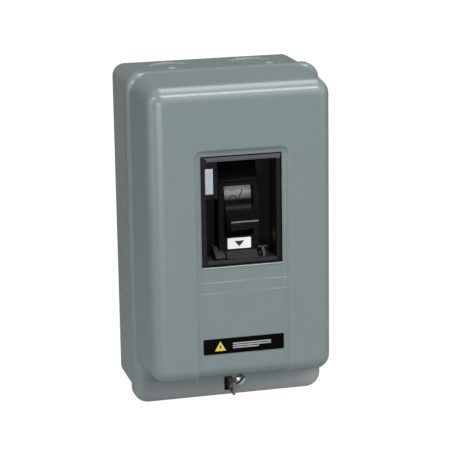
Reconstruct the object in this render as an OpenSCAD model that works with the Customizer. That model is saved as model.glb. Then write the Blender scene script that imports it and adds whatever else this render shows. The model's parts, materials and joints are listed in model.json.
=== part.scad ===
// Enclosed toggle-operated switch and overload starter in a two-piece pressed steel case.
// Row frame: X to the right, Y into the wall, Z up. The origin is the centre of the back mounting
// face, so the whole object lies on the -Y side of the wall plane Y = 0.
// Most shapes are drawn in a "face" frame: x right, y up, z out from the wall.

/* [Case] */
// Overall width across the lip of the cover (mm)
case_w = 127; // [125:0.5:134]
// Overall height across the lip of the cover (mm)
case_h = 218.4; // [217:0.2:226]
// Distance from the wall to the front face of the cover (mm)
front_d = 100.5; // [100:0.1:102]
// Depth of the rear box up to the cover seam (mm)
seam_d = 50; // [48:0.2:51]
// Sheet steel thickness of box and cover (mm)
sheet = 1.5; // [1.2:0.1:1.6]
// Radius of the front edge of the cover (mm)
edge_r = 10; // [9:0.5:11]
// Draft angle of the cover walls (degrees)
draft = 4.6; // [3:0.2:5]
// Height of the flat ledge below the raised front (mm)
ledge_h = 24.5; // [23:0.5:26]

/* [Mounting] */
// Side to side distance of the four mounting holes (mm)
hole_dx = 76.2; // [70:0.1:80]
// Up and down distance of the four mounting holes (mm)
hole_dz = 177.8; // [174:0.1:180]
// Diameter of the mounting holes (mm)
hole_d = 7.2; // [5:0.1:7.4]

/* [Handle] */
// Width of the toggle handle (mm)
handle_w = 17.8; // [16:0.1:18.2]
// Reach of the handle tip from the wall (mm)
handle_tip = 106.4; // [103:0.1:108]

/* [Display] */
// Piece to draw, or all

/* [Hidden] */
$fn = 64;

lip_r = 10;                       // corner radius of the cover lip
lip_e = 7;                        // edge radius between lip and ledge face
ledge_z = seam_d + 11;            // front plane of the ledge
lip_cx = case_w / 2 - lip_r;
lip_cy = case_h / 2 - lip_r;

box_w = case_w - 4.8;             // rear box, inside the lip
box_h = case_h - 4.8;
box_r = 8;
box_d = seam_d + 3.7;
box_e = 4;

bulge_top = case_h / 2 - 3.4;     // raised front, top and bottom at the height of the edge arc centre
bulge_bot = -case_h / 2 + ledge_h;
bulge_hw = case_w / 2 - 4.7;
bulge_r = edge_r + 0.2;           // corner radius seen from the front
bulge_cx = bulge_hw - bulge_r;
bulge_cy = (bulge_top - bulge_bot) / 2 - bulge_r;
bulge_y = (bulge_top + bulge_bot) / 2;

panel_hw = 29.5;                  // sunk panel in the raised front
panel_top = 65;
panel_sink = 1.4;
deep_sink = 2.2;                  // sunk further round the bezel
deep_bot = -22;

screw_x = 7; screw_y = -98.05;    // cover screw
tab_x = -0.8; tab_t = 1.4;        // padlock tab

pv_y = 26.2; pv_z = 60;           // handle pivot
drum_r = 30;
crank = 15;                       // pivot to drive nose
poles = [-24, 0, 24];
base_z = 34;

// ---------- helpers ----------
// Face frame to row frame.
module face() rotate([90, 0, 0]) children();

function arc(cx, cy, r, a0, a1, n = 10) =
  [for (i = [0:n]) let (a = a0 + (a1 - a0) * i / n) [cx + r * cos(a), cy + r * sin(a)]];

// Edge section of a pressed wall: x is the distance out from the corner axis, y the height.
// c is the arc centre, re the edge radius, z0 the foot and z1 the front.
module wall_section(c, re, z0, z1, a) {
  foot = c + re * cos(a) + (z1 - re + re * sin(a) - z0) * tan(a);
  polygon(concat([[0, z0], [foot, z0]], arc(c, z1 - re, re, a, 90), [[0, z1]]));
}

// Edge section with the rounding at the back instead of the front.
module back_section(r, re, z0, z1)
  polygon(concat([[0, z0]], arc(r - re, z0 + re, re, -90, 0), [[r, z1], [0, z1]]));

// Sweeps an edge section round a rectangle whose corner axes are at (+-cx, +-cy).
module pressed(cx, cy, z0, z1) {
  for (s = [0:3])
    translate([(s == 0 || s == 3) ? cx : -cx, s < 2 ? cy : -cy, 0])
      rotate(90 * s) rotate_extrude(angle = 90) children();
  for (m = [0, 1]) {
    mirror([m, 0, 0]) translate([cx, cy, 0]) rotate([90, 0, 0]) linear_extrude(2 * cy) children();
    mirror([0, m, 0]) translate([-cx, cy, 0]) rotate([90, 0, 90]) linear_extrude(2 * cx) children();
  }
  translate([-cx, -cy, z0]) cube([2 * cx, 2 * cy, z1 - z0]);
}

// Block between two corners.
module block(a, b) translate(a) cube(b - a);

// Prism along x of an outline given as [y, z] points, from x0 to x1.
module prism(x0, x1, pts)
  translate([x0, 0, 0]) rotate([90, 0, 90]) linear_extrude(x1 - x0) polygon(pts);

// Round bar along x, y or z.
module bar_x(x0, x1, y, z, r) translate([x0, y, z]) rotate([0, 90, 0]) cylinder(h = x1 - x0, r = r);
module bar_y(y0, y1, x, z, r) translate([x, y0, z]) rotate([-90, 0, 0]) cylinder(h = y1 - y0, r = r);
module bar_z(z0, z1, x, y, r) translate([x, y, z0]) cylinder(h = z1 - z0, r = r);

// Slotted screw along z with the underside of its head at z.
module screw(x, y, z, head_r, head_h, shank_r, len, slot = true)
  difference() {
    union() {
      bar_z(z, z + head_h, x, y, head_r);
      bar_z(z - len, z, x, y, shank_r);
    }
    if (slot) translate([x, y, z + head_h]) rotate(40) cube([head_r * 3, 1, 1.6], center = true);
  }

// Coils drawn as touching rings along z, from z0 to z1.
module coil(z0, z1, r, wire) {
  n = floor((z1 - z0) / (wire * 2));
  p = (z1 - z0) / n;
  difference() {
    union() {
      for (i = [0:n - 1]) translate([0, 0, z0 + p * (i + 0.5) - p * 0.3]) cylinder(h = p * 0.6, r = r);
      translate([0, 0, z0]) cylinder(h = z1 - z0, r = r - wire * 0.45);
    }
    translate([0, 0, z0 - 1]) cylinder(h = z1 - z0 + 2, r = r - wire);
  }
}

// ---------- case ----------
module box_solid(in = 0)
  pressed(box_w / 2 - box_r, box_h / 2 - box_r, in, box_d + in)
    back_section(box_r - in, box_e - in, in, box_d + in);

// Knockout in an outside face at height h along z: a shallow dish with a scored inner ring and one tie.
module knockout(h, tie)
  difference() {
    union() {
      bar_z(h - 0.55, h + 1, 0, 0, 14.1);
      difference() {
        bar_z(h - 0.9, h + 1, 0, 0, 11.1);
        bar_z(h - 2, h + 2, 0, 0, 10.5);
      }
    }
    rotate(tie) translate([12.6, 0, h - 1]) cube([4.4, 3.2, 2], center = true);
  }

module enclosure_box()
  color([0.50, 0.55, 0.54]) face() difference() {
    box_solid();
    box_solid(sheet);
    for (sx = [-1, 1], sy = [-1, 1]) bar_z(-1, 3, sx * hole_dx / 2, sy * hole_dz / 2, hole_d / 2);
    bar_z(-1, 3, -45, -78, 1.95);
    for (s = [-1, 1], x = [-27, 27])
      translate([x, 0, 24]) rotate([s < 0 ? 90 : -90, 0, 0])
        knockout(box_h / 2, -s * (x < 0 ? 95 : 40));
  }

// Bracket welded inside the bottom wall: tapped flange for the cover screw and the padlock tab.
module padlock_bracket()
  color([0.72, 0.73, 0.72]) face() difference() {
    union() {
      block([tab_x, -box_h / 2 + sheet, 30], [16, -box_h / 2 + sheet * 2, seam_d - 0.8]);
      block([tab_x, -box_h / 2 + sheet, seam_d - 2.3], [16, -89, seam_d - 0.8]);
      block([tab_x, -104.2, seam_d - 2.3], [tab_x + tab_t, -95.4, 73]);
    }
    bar_z(40, 55, screw_x, screw_y, 2.45);
    bar_x(tab_x - 1, tab_x + 3, -99.8, 68.4, 2.8);
  }

module rail(y)
  difference() {
    union() {
      block([-37, y - 6.5, 12.5], [37, y + 6.5, 14]);
      block([-37, y - 6.5, sheet], [37, y - 5, 13]);
      block([-37, y + 5, sheet], [37, y + 6.5, 13]);
    }
    for (x = [-30, 30]) bar_z(10, 16, x, y, 2.05);
  }

module mounting_rails() color([0.74, 0.74, 0.71]) face() { rail(74.8); rail(-64.5); }

module ground_screw()
  color([0.16, 0.42, 0.22]) face() difference() {
    union() {
      bar_z(sheet, sheet + 1, -45, -78, 5.6);
      translate([-45, -78, sheet + 1]) cylinder(h = 2.6, r = 4.4, $fn = 6);
      bar_z(0.3, sheet + 1, -45, -78, 1.9);
    }
    translate([-45, -78, sheet + 3.6]) rotate(25) cube([12, 1, 1.6], center = true);
  }

// ---------- starter ----------
module starter_base()
  color([0.13, 0.12, 0.12]) face() difference() {
    union() {
      block([-38, -60, 14], [38, 70, base_z]);
      for (x = [-30, 30]) {
        block([x - 7, 70, 14], [x + 7, 79.5, 18]);
        block([x - 7, -69.5, 14], [x + 7, -60, 18]);
      }
      for (x = [-12, 12]) {
        block([x - 0.9, 58.2, base_z], [x + 0.9, 70, 44]);
        block([x - 0.9, -60, base_z], [x + 0.9, -17, 44]);
        block([x - 2, 6, base_z], [x + 2, 40, 39.7]);
        block([x - 2.2, -5, base_z], [x + 2.2, -2, 49]);
      }
      for (s = [0, 1]) mirror([s, 0, 0]) {
        block([36.2, 58.2, base_z], [38, 70, 44]);
        block([36.2, -60, base_z], [38, -17, 44]);
        block([35.2, -17, base_z], [38, -9, 54]);
      }
    }
    for (p = poles) {
      block([p - 9.5, -46, 13], [p + 9.5, 50, 27]);
      bar_z(26, 36, p - 3, 63.5, 1.85);
      bar_z(26, 36, p + 2, -53.5, 1.85);
      bar_z(28, 36, p + 4.5, -18.5, 1.65);
      bar_z(28, 36, p + 2, -42.5, 1.65);
    }
    for (x = [-30, 30]) {
      bar_z(13, 20, x, 74.8, 2.1);
      bar_z(13, 20, x, -64.5, 2.1);
    }
    for (x = [-35.5, 35.5], y = [53.6, -5.6]) bar_z(20, 36, x, y, 1.45);
    bar_x(-40, 40, -13, 50, 1.85);
  }

module starter_screws()
  color([0.80, 0.80, 0.78]) face() for (x = [-30, 30], y = [74.8, -64.5]) screw(x, y, 18, 3.5, 2.4, 2, 10);

// Moulded mechanism housing with the raised handle boss.
module starter_housing()
  color([0.10, 0.10, 0.10]) face() difference() {
    union() {
      difference() {
        block([-38, -8, base_z], [38, 56, 70]);
        block([-35.5, -5.5, 33], [35.5, 53.5, 67.5]);
        block([-33.5, -10, 33], [33.5, 60, 36.2]);
      }
      // guide ribs in front of the carrier and cheeks that carry the shaft
      for (s = [0, 1]) mirror([s, 0, 0]) {
        block([26, -6, 50.3], [29, 54, 68]);
        block([9.7, 18, 54], [13, 34, 68]);
        block([33.4, 49.6, base_z], [36, 54, 68]);
        block([33.4, -6, base_z], [36, -2.2, 68]);
      }
      prism(-13, 13, [[-5.2, 68], [54, 68], [54, 77.6], [50, 81.6], [46, 85.6], [42.8, 88.4], [42.4, 91], [-5.2, 91]]);
    }
    intersection() {
      bar_x(-9.6, 9.6, pv_y, pv_z, drum_r + 0.6);
      block([-9.6, -3.5, 52], [9.6, 52.2, 100]);
    }
    block([-9.6, 7.6, 80], [9.6, 40.2, 95]);
    bar_x(-20, 20, pv_y, pv_z, 2.52);
    for (x = [-35.5, 35.5], y = [53.6, -5.6]) {
      bar_z(33, 71, x, y, 1.6);
      bar_z(68.2, 71, x, y, 2.4);
    }
  }

module housing_screws()
  color([0.80, 0.80, 0.78]) face() for (x = [-35.5, 35.5], y = [53.6, -5.6]) screw(x, y, 68.2, 2.35, 1.5, 1.4, 44, false);

module line_terminals()
  color([0.80, 0.50, 0.28]) face() for (p = poles) difference() {
    union() {
      block([p - 9, 3.8, base_z], [p - 2, 69, base_z + 1.5]);
      block([p - 9, 58.6, base_z], [p + 3, 69, base_z + 1.5]);
      block([p - 9, 3.8, base_z], [p - 2, 5.3, 49]);
      bar_y(5.2, 6.3, p - 5.5, 45, 2.2);
    }
    bar_z(33, 37, p - 3, 63.5, 2);
  }

module load_links()
  color([0.80, 0.50, 0.28]) face() for (p = poles) difference() {
    union() {
      block([p + 2, -21.5, base_z], [p + 9, 5.3, base_z + 1.5]);
      block([p + 2, 3.8, base_z], [p + 9, 5.3, 49]);
      bar_y(5.2, 6.3, p + 5.5, 45, 2.2);
    }
    bar_z(33, 37, p + 4.5, -18.5, 1.8);
  }

module load_terminals()
  color([0.80, 0.50, 0.28]) face() for (p = poles) difference() {
    block([p - 4, -59, base_z], [p + 8, -39.6, base_z + 1.5]);
    bar_z(33, 37, p + 2, -53.5, 2);
    bar_z(33, 37, p + 2, -42.5, 1.8);
  }

// Saddle clamp plate under a terminal screw.
module saddle(x, y)
  difference() {
    union() {
      block([x - 5, y - 4.6, 35.5], [x + 5, y + 4.6, 37.1]);
      for (s = [-1, 1]) block([x + s * 4.3 - 0.7, y - 4.6, 37], [x + s * 4.3 + 0.7, y + 4.6, 38.2]);
    }
    bar_z(34, 39, x, y, 2.1);
  }

module line_clamps() color([0.76, 0.68, 0.42]) face() for (p = poles) saddle(p - 3, 63.5);
module load_clamps() color([0.76, 0.68, 0.42]) face() for (p = poles) saddle(p + 2, -53.5);

module line_terminal_screws() color([0.82, 0.80, 0.74]) face() for (p = poles) screw(p - 3, 63.5, 37.1, 3.5, 2.8, 1.8, 9);
module load_terminal_screws() color([0.82, 0.80, 0.74]) face() for (p = poles) screw(p + 2, -53.5, 37.1, 3.5, 2.8, 1.8, 9);

// Plug-in thermal unit: wound coil body between two screwed lugs.
module heater_units()
  color([0.62, 0.60, 0.56]) face() for (p = poles) difference() {
    union() {
      block([p - 4, -23, 35.5], [p + 8, -14.6 , 36.8]);
      block([p - 4, -47, 35.5], [p + 8, -38.4, 36.8]);
      bar_y(-37, -24.4, p + 2, 41.2, 4.6);
      bar_y(-39.6, -21.8, p + 2, 41.2, 3);
      block([p - 1, -39.6, 36], [p + 5, -38.4, 41.5]);
      block([p - 1, -23, 36], [p + 5, -21.8, 41.5]);
    }
    bar_z(34, 38, p + 4.5, -18.5, 1.9);
    bar_z(34, 38, p + 2, -42.5, 1.9);
  }

module heater_screws()
  color([0.80, 0.80, 0.78]) face() for (p = poles) {
    screw(p + 4.5, -18.5, 36.8, 2.9, 2.1, 1.6, 8);
    screw(p + 2, -42.5, 36.8, 2.9, 2.1, 1.6, 8);
  }

// Common trip bar, one finger over each thermal unit.
module trip_bar()
  color([0.55, 0.15, 0.12]) face() {
    bar_x(-37.8, 37.8, -13, 50, 1.8);
    for (p = poles) {
      block([p - 0.5, -33, 48.6], [p + 4.5, -13, 50.2]);
      block([p - 0.5, -33, 47.2], [p + 4.5, -31, 50.2]);
    }
    block([-7, -14.2, 50], [-4.5, -11.8, 60]);
  }

module trip_bar_spring()
  color([0.70, 0.71, 0.72]) face() translate([0, -13, 50]) rotate([0, 90, 0]) coil(9, 19, 3.1, 0.9);

module handle_shaft() color([0.78, 0.79, 0.80]) face() bar_x(-12.9, 12.9, pv_y, pv_z, 2.5);

function pol(r, a) = [pv_y + r * sin(a), pv_z + r * cos(a)];

// Toggle: curved shutter, lever lip, hub on the shaft and drive arm to the carrier.
module toggle_handle() {
  hw = handle_w / 2;
  tip = handle_tip;
  lever = concat(
    [pol(27.6, -24), pol(27.6, 10)], [pol(29.9, 10)],
    [for (i = [0:6]) [31.2 - 8.9 * sin(i * 12.5), 98.3 - 8.9 * cos(i * 12.5)]],
    [[20.9, tip - 1], [20.2, tip], [16.4, tip], [15.6, tip - 0.9], [14.4, 97], [13.6, 87.6]]);
  color([0.15, 0.14, 0.14]) face() difference() {
    union() {
      prism(-hw, hw, concat([for (i = [0:16]) pol(drum_r, -66 + i * 97 / 16)],
        [for (i = [0:16]) pol(27.5, 31 - i * 97 / 16)]));
      prism(-hw, hw, lever);
      for (s = [0, 1]) mirror([s, 0, 0])
        prism(hw - 1.8, hw, concat([pol(0, 0)], [for (i = [0:16]) pol(28, -66 + i * 97 / 16)]));
      bar_x(-hw, hw, pv_y, pv_z, 6);
      block([-3, pv_y - 1.3, pv_z - crank], [3, pv_y + 1.3, pv_z]);
      bar_x(-3, 3, pv_y, pv_z - crank, 1.8);
    }
    bar_x(-20, 20, pv_y, pv_z, 2.55);
  }
}

module handle_label() color([0.93, 0.93, 0.92]) face() block([-7.6, -0.4, 91], [7.6, 6.6, 91.3]);

// Sliding crossbar, with a notch for the drive nose and a stem for each bridge.
module contact_carrier()
  color([0.30, 0.17, 0.10]) face() difference() {
    union() {
      block([-35.1, 20.2, 40], [35.1, 32.2, 50]);
      for (p = poles) {
        bar_y(13, 21, p, 45, 1.5);
        bar_y(13, 13.7, p, 45, 2.3);
      }
    }
    prism(-3.4, 3.4, [[pv_y - 2.1, 42.4], [pv_y - 2.1, 45.8], [pv_y - 7, 51], [pv_y + 7, 51], [pv_y + 2.1, 45.8], [pv_y + 2.1, 42.4]]);
  }

module moving_contacts()
  color([0.85, 0.62, 0.38]) face() for (p = poles) difference() {
    union() {
      block([p - 8, 13.7, 41], [p + 8, 15.2, 49]);
      for (s = [-5.5, 5.5]) bar_y(12.7, 13.8, p + s, 45, 2.2);
    }
    bar_y(12, 17, p, 45, 1.56);
    bar_y(11, 13.7, p, 45, 2.4);
  }

module contact_springs()
  color([0.72, 0.73, 0.74]) face() for (p = poles)
    translate([p, 15.2, 45]) rotate([-90, 0, 0]) coil(0, 5, 2.6, 0.7);

module carrier_springs()
  color([0.72, 0.73, 0.74]) face() for (x = [-12, 12])
    translate([x, -2, 45]) rotate([-90, 0, 0]) coil(0, 22.2, 2.2, 0.6);

// ---------- cover ----------
module lip_solid(in = 0, z0 = 0)
  pressed(lip_cx, lip_cy, z0, ledge_z - in) wall_section(lip_r - lip_e, lip_e - in, z0, ledge_z - in, 0);

module bulge_solid(in = 0, z0 = 0)
  translate([0, bulge_y, 0]) pressed(bulge_cx, bulge_cy, z0, front_d - in)
    wall_section(bulge_r - edge_r, edge_r - in, z0, front_d - in, draft);

// Footprint of the sunk panel, open at the bottom, grown by g.
module panel_slab(g, z0) {
  hw = panel_hw + g; t = panel_top + g; r = 4 + g;
  translate([0, 0, z0]) linear_extrude(120 - z0) union() {
    translate([-hw, -120]) square([2 * hw, 120 + t - r]);
    translate([-hw + r, 0]) square([2 * hw - 2 * r, t]);
    for (s = [-1, 1]) translate([s * (hw - r), t - r]) circle(r);
  }
}

module front_cover()
  color([0.52, 0.57, 0.56]) face() difference() {
    union() {
      lip_solid(0, seam_d);
      difference() { bulge_solid(0, seam_d + 3); panel_slab(0, ledge_z); }
      intersection() { bulge_solid(panel_sink, seam_d + 3); panel_slab(0, seam_d + 3); }
    }
    // inside of the shell
    difference() {
      union() {
        lip_solid(sheet, seam_d - 1);
        difference() { bulge_solid(sheet, seam_d + 2); panel_slab(sheet, seam_d); }
        intersection() { bulge_solid(panel_sink + sheet, seam_d + 2); panel_slab(sheet, seam_d); }
      }
      block([-panel_hw, deep_bot - sheet, front_d - deep_sink - sheet], [panel_hw, panel_top, front_d + 5]);
    }
    block([-panel_hw + 1.3, deep_bot, front_d - deep_sink], [panel_hw - 1.3, panel_top - 1.3, front_d + 5]);
    // bezel opening, padlock slot and screw hole
    block([-24.65, -7.85, 80], [24.65, 60.25, 120]);
    block([-3.6, -104.6, ledge_z - 4], [1.6, -95, ledge_z + 2]);
    bar_z(ledge_z - 4, ledge_z + 2, screw_x, screw_y, 2.7);
  }

module bezel() {
  z0 = front_d - deep_sink;
  zf = front_d - 1.5;
  zm = zf - 1;
  color([0.09, 0.09, 0.10]) face() difference() {
    union() {
      block([-25.92, -9.14, z0], [25.92, 61.5, zf]);
      block([-24.5, -7.7, 80], [24.5, 60.1, z0 + 0.5]);
    }
    difference() {
      union() {
        // well with a bevelled mouth
        block([-22.6, -5.8, 82], [22.6, 57.9, 105]);
        prism(-22.6, 22.6, [[-5.9, zm], [57.9, zm], [60, zf + 0.01], [60, zf + 2], [-7.6, zf + 2], [-7.6, zf + 0.01], [-5.9, zm]]);
        translate([0, -5.8, 0]) rotate([-90, 0, 0]) linear_extrude(63.7)
          polygon([[-22.6, -zm], [22.6, -zm], [24.4, -zf - 0.01], [24.4, -zf - 2], [-24.4, -zf - 2], [-24.4, -zf - 0.01]]);
      }
      // lamp block, ramp and corner wedges left standing in the well
      block([-26, 34.5, 70], [-15.4, 57.6, zf - 0.2]);
      prism(-9.2, 11, [[-6, 91.4], [-1.3, 91.4], [-5.2, 97.6], [-6, 97.6]]);
      prism(-16.6, -10.4, [[-6, 82], [1.2, 82], [1.2, 88], [-4.2, 97], [-6, 97]]);
      prism(12.4, 17.6, [[-6, 82], [0.2, 82], [0.2, 89.5], [-5, 92.5], [-6, 92.5]]);
      block([12, -0.6, 86], [18, 0.8, 92.2]);
      prism(14.3, 15.7, [[-6, 86], [0, 86], [0, 92.2], [-5.4, 95.6], [-6, 95.6]]);
    }
    block([-13.6, -5.8, 70], [13.6, 54.8, 91.4]);
    block([-23.35, 37.55, 70], [-18.25, 53.85, 105]);
  }
}

module bezel_clips()
  color([0.75, 0.76, 0.76]) face() for (s = [0, 1]) mirror([s, 0, 0]) {
    block([24.5, 14, 95.4], [31, 38, 96.3]);
    block([24.5, 14, 90], [25.3, 38, 96]);
  }

module pilot_lens()
  color([0.90, 0.91, 0.93]) face() {
    block([-23.3, 37.6, 80], [-18.3, 53.8, 99.2]);
    block([-23.6, 36.8, 78.6], [-17.6, 54.6, 80]);
  }

module pilot_lamp()
  color([0.95, 0.70, 0.45]) face() {
    bar_y(41, 50, -20.6, 75.6, 2.2);
    bar_y(38, 41, -20.6, 75.6, 1.2);
  }

module pilot_housing()
  color([0.16, 0.16, 0.17]) face() difference() {
    block([-24.5, 35.4, 71.4], [-15.4, 57, 80]);
    block([-23.4, 38, 73], [-17, 53, 79]);
    block([-23.65, 36.75, 78.5], [-17.55, 54.65, 81]);
    bar_y(36.5, 40, -20.6, 75.6, 1.25);
  }

module nameplate()
  color([0.05, 0.05, 0.05]) face() block([-26.3, -66.34, front_d - panel_sink], [26.3, -56.26, front_d - panel_sink + 0.5]);

module cover_screw()
  color([0.82, 0.83, 0.83]) face() screw(screw_x, screw_y, ledge_z, 3.5, 2.3, 2.4, 15);

module screw_retainer()
  color([0.60, 0.61, 0.62]) face() difference() {
    bar_z(ledge_z - sheet - 1.1, ledge_z - sheet - 0.1, screw_x, screw_y, 4.8);
    bar_z(ledge_z - 5, ledge_z, screw_x, screw_y, 2.41);
  }

enclosure_box();
padlock_bracket();
mounting_rails();
ground_screw();
starter_base();
starter_screws();
starter_housing();
housing_screws();
line_terminals();
load_links();
load_terminals();
line_clamps();
load_clamps();
line_terminal_screws();
load_terminal_screws();
heater_units();
heater_screws();
trip_bar();
trip_bar_spring();
handle_shaft();
toggle_handle();
handle_label();
contact_carrier();
moving_contacts();
contact_springs();
carrier_springs();
front_cover();
bezel();
bezel_clips();
pilot_lens();
pilot_lamp();
pilot_housing();
nameplate();
cover_screw();
screw_retainer();
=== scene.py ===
import bpy, bmesh, json, math
from mathutils import Vector, Matrix


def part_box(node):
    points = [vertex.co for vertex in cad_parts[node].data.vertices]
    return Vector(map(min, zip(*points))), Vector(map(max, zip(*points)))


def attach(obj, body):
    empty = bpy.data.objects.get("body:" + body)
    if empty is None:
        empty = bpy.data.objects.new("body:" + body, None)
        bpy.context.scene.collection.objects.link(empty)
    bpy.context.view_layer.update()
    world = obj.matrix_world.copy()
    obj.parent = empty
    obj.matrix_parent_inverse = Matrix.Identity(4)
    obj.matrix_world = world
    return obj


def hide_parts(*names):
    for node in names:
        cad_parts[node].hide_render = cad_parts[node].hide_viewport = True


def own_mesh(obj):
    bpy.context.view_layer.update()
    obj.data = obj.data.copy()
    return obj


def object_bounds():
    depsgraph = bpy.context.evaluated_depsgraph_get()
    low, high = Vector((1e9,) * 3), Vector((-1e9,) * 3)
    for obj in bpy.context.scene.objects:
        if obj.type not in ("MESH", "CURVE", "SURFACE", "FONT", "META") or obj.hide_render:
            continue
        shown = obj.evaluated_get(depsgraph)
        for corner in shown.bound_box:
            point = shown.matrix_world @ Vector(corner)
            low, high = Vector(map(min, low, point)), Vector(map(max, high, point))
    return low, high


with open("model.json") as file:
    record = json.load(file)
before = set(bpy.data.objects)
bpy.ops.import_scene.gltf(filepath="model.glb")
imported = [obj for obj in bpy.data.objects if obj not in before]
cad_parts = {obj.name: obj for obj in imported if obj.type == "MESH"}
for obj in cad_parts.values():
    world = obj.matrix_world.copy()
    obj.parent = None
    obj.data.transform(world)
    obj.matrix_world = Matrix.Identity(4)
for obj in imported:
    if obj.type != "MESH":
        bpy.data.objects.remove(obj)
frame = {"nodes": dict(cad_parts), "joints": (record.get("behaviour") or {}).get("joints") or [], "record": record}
CAD_LO, CAD_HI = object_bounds()
N = frame["nodes"]
REC = frame["record"]
BODY = {n: b for b, ns in REC["behaviour"]["bodies"].items() for n in ns}
JOINT = {j["name"]: j for j in frame["joints"]}


# ---------------------------------------------------------------- frame helpers
# Shapes are worked out in millimetres in a face frame: x right, y up, z out from the wall.
def P(x, y, z):
    return Vector((x / 1000.0, -z / 1000.0, y / 1000.0))


class Box:
    """A CAD node's box in the face frame, in millimetres."""
    def __init__(self, node):
        lo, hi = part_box(node)
        self.x0, self.x1 = lo.x * 1000, hi.x * 1000
        self.y0, self.y1 = lo.z * 1000, hi.z * 1000
        self.z0, self.z1 = -hi.y * 1000, -lo.y * 1000
        self.cx, self.cy = (self.x0 + self.x1) / 2, (self.y0 + self.y1) / 2
        self.w, self.h, self.d = self.x1 - self.x0, self.y1 - self.y0, self.z1 - self.z0


def pivot(name):
    p = JOINT[name]["pos_m"]
    return p[0] * 1000, p[2] * 1000, -p[1] * 1000


def finish_mesh(bm, name, mat, body, sharp=38):
    for f in bm.faces:
        f.smooth = True
    lim = math.radians(sharp)
    for e in bm.edges:
        e.smooth = len(e.link_faces) == 2 and e.calc_face_angle(0) < lim
    me = bpy.data.meshes.new(name)
    bm.to_mesh(me)
    bm.free()
    me.materials.append(mat)
    o = bpy.data.objects.new(name, me)
    bpy.context.scene.collection.objects.link(o)
    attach(o, body)
    return o


def own(o, node, stands=True):
    if stands:
        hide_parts(node)
    return o


def refine(node, mat, bevel=0.25, seg=2, limit=28, sharp=40, name=None):
    """The CAD node's own surface, welded, with its sharp edges broken by a small bevel."""
    bm = bmesh.new()
    bm.from_mesh(N[node].data)
    bmesh.ops.remove_doubles(bm, verts=bm.verts, dist=2e-6)
    bmesh.ops.dissolve_limit(bm, angle_limit=math.radians(0.7), use_dissolve_boundaries=False, verts=bm.verts, edges=bm.edges)
    bmesh.ops.recalc_face_normals(bm, faces=bm.faces)
    if bevel:
        edges = [e for e in bm.edges if len(e.link_faces) == 2 and e.calc_face_angle(0) > math.radians(limit)]
        bmesh.ops.bevel(bm, geom=edges, offset=bevel / 1000.0, offset_type="OFFSET", segments=seg, profile=0.5,
                        affect="EDGES", clamp_overlap=True)
    o = finish_mesh(bm, name or node + "_v", mat, BODY[node], sharp)
    wn = o.modifiers.new("even_normals", "WEIGHTED_NORMAL")
    wn.keep_sharp, wn.weight = True, 100
    return own(o, node)


def from_lists(verts, faces, name, mat, body, sharp=38):
    me = bpy.data.meshes.new(name + "_t")
    me.from_pydata(verts, [], faces)
    bm = bmesh.new()
    bm.from_mesh(me)
    bpy.data.meshes.remove(me)
    bmesh.ops.remove_doubles(bm, verts=bm.verts, dist=1e-6)
    return finish_mesh(bm, name, mat, body, sharp)


def evaluated(o, sharp=38):
    """Applies an object's modifiers to its mesh."""
    dg = bpy.context.evaluated_depsgraph_get()
    me = bpy.data.meshes.new_from_object(o.evaluated_get(dg))
    o.modifiers.clear()
    old = o.data
    o.data = me
    bpy.data.meshes.remove(old)
    bm = bmesh.new()
    bm.from_mesh(me)
    for f in bm.faces:
        f.smooth = True
    for e in bm.edges:
        e.smooth = len(e.link_faces) == 2 and e.calc_face_angle(0) < math.radians(sharp)
    bm.to_mesh(me)
    bm.free()
    return o


def cut(o, cutters, sharp=38):
    """Takes cutter meshes (lists of vertices and faces) away from an object."""
    for i, (vs, fs) in enumerate(cutters):
        me = bpy.data.meshes.new("cutter%d" % i)
        me.from_pydata(vs, [], fs)
        c = bpy.data.objects.new("cutter%d" % i, me)
        bpy.context.scene.collection.objects.link(c)
        m = o.modifiers.new("cut", "BOOLEAN")
        m.operation, m.object, m.solver = "DIFFERENCE", c, "EXACT"
        bpy.context.view_layer.update()
        evaluated(o, sharp)
        bpy.data.objects.remove(c)
        bpy.data.meshes.remove(me)
    return o


def extrude_loop(loop, a, b, to):
    """Prism of a closed outline (list of 2-D points) between a and b, placed by to(u, v, w)."""
    n = len(loop)
    vs = [to(u, v, a) for u, v in loop] + [to(u, v, b) for u, v in loop]
    fs = [list(range(n))[::-1], list(range(n, 2 * n))]
    fs += [[i, (i + 1) % n, n + (i + 1) % n, n + i] for i in range(n)]
    return vs, fs


def round_rect(x0, x1, y0, y1, r, n=6):
    pts = []
    for cx, cy, a0 in ((x1 - r, y1 - r, 0), (x0 + r, y1 - r, 90), (x0 + r, y0 + r, 180), (x1 - r, y0 + r, 270)):
        for i in range(n + 1):
            a = math.radians(a0 + 90.0 * i / n)
            pts.append((cx + r * math.cos(a), cy + r * math.sin(a)))
    return pts


def prism(loop, a, b, to, name, mat, body, bevel=0.3, seg=3, limit=28, sharp=38):
    vs, fs = extrude_loop(loop, a, b, to)
    me = bpy.data.meshes.new(name + "_t")
    me.from_pydata(vs, [], fs)
    bm = bmesh.new()
    bm.from_mesh(me)
    bpy.data.meshes.remove(me)
    bmesh.ops.recalc_face_normals(bm, faces=bm.faces)
    if bevel:
        edges = [e for e in bm.edges if e.calc_face_angle(0) > math.radians(limit)]
        bmesh.ops.bevel(bm, geom=edges, offset=bevel / 1000.0, offset_type="OFFSET", segments=seg, profile=0.5,
                        affect="EDGES", clamp_overlap=True)
    return finish_mesh(bm, name, mat, body, sharp)


def lathe(profile, to, name, mat, body, n=48, sharp=38):
    """Turns a profile of (radius, height) points; to(x, y, z) places it."""
    vs, fs = [], []
    for r, z in profile:
        for k in range(n):
            a = 2 * math.pi * k / n
            vs.append(to(r * math.cos(a), r * math.sin(a), z))
    for i in range(len(profile) - 1):
        for k in range(n):
            q = [i * n + k, i * n + (k + 1) % n, (i + 1) * n + (k + 1) % n, (i + 1) * n + k]
            fs.append(q)
    o = from_lists(vs, fs, name, mat, body, sharp)
    return o


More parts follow.
